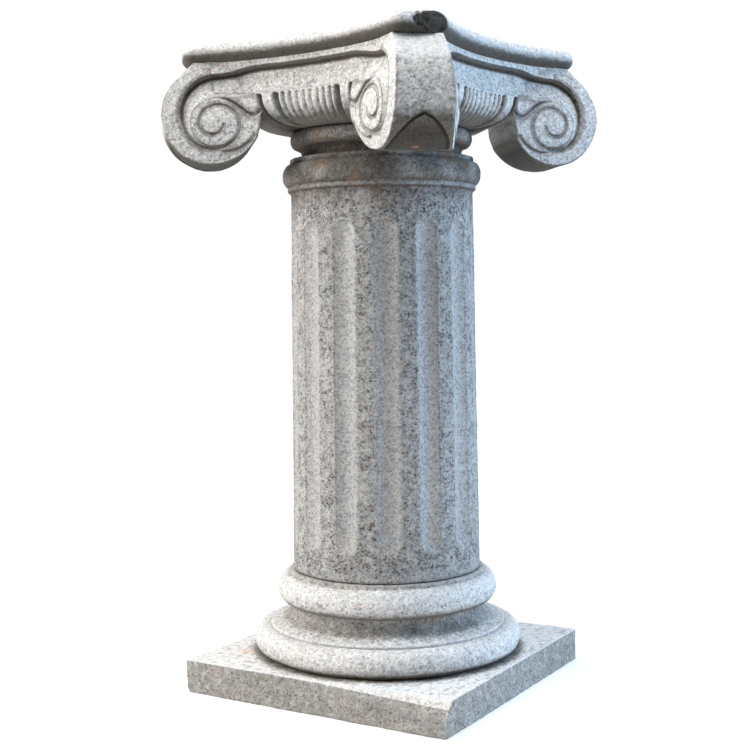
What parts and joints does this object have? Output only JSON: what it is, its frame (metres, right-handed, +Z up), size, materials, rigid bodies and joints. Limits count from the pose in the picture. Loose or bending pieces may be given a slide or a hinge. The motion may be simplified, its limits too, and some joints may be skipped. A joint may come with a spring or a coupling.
{
  "type": "granite column",
  "caption": "Short grey granite column with a square plinth, moulded base, fluted shaft and a four-cornered Ionic capital whose one horn is broken off.",
  "frame": {"origin": "middle of the plinth's underside", "axes": "+Z up along the shaft; the plinth's sides face X and Y; the corner with the broken horn lies between +X and -Y"},
  "size_m": [0.5718, 0.5718, 1],
  "materials": {
    "base granite": "tooled",
    "shaft granite": "tooled",
    "capital granite": "tooled"
  },
  "bodies": {
    "root": {"base": "base granite", "shaft": "shaft granite", "capital": "capital granite"}
  },
  "joints": []
}
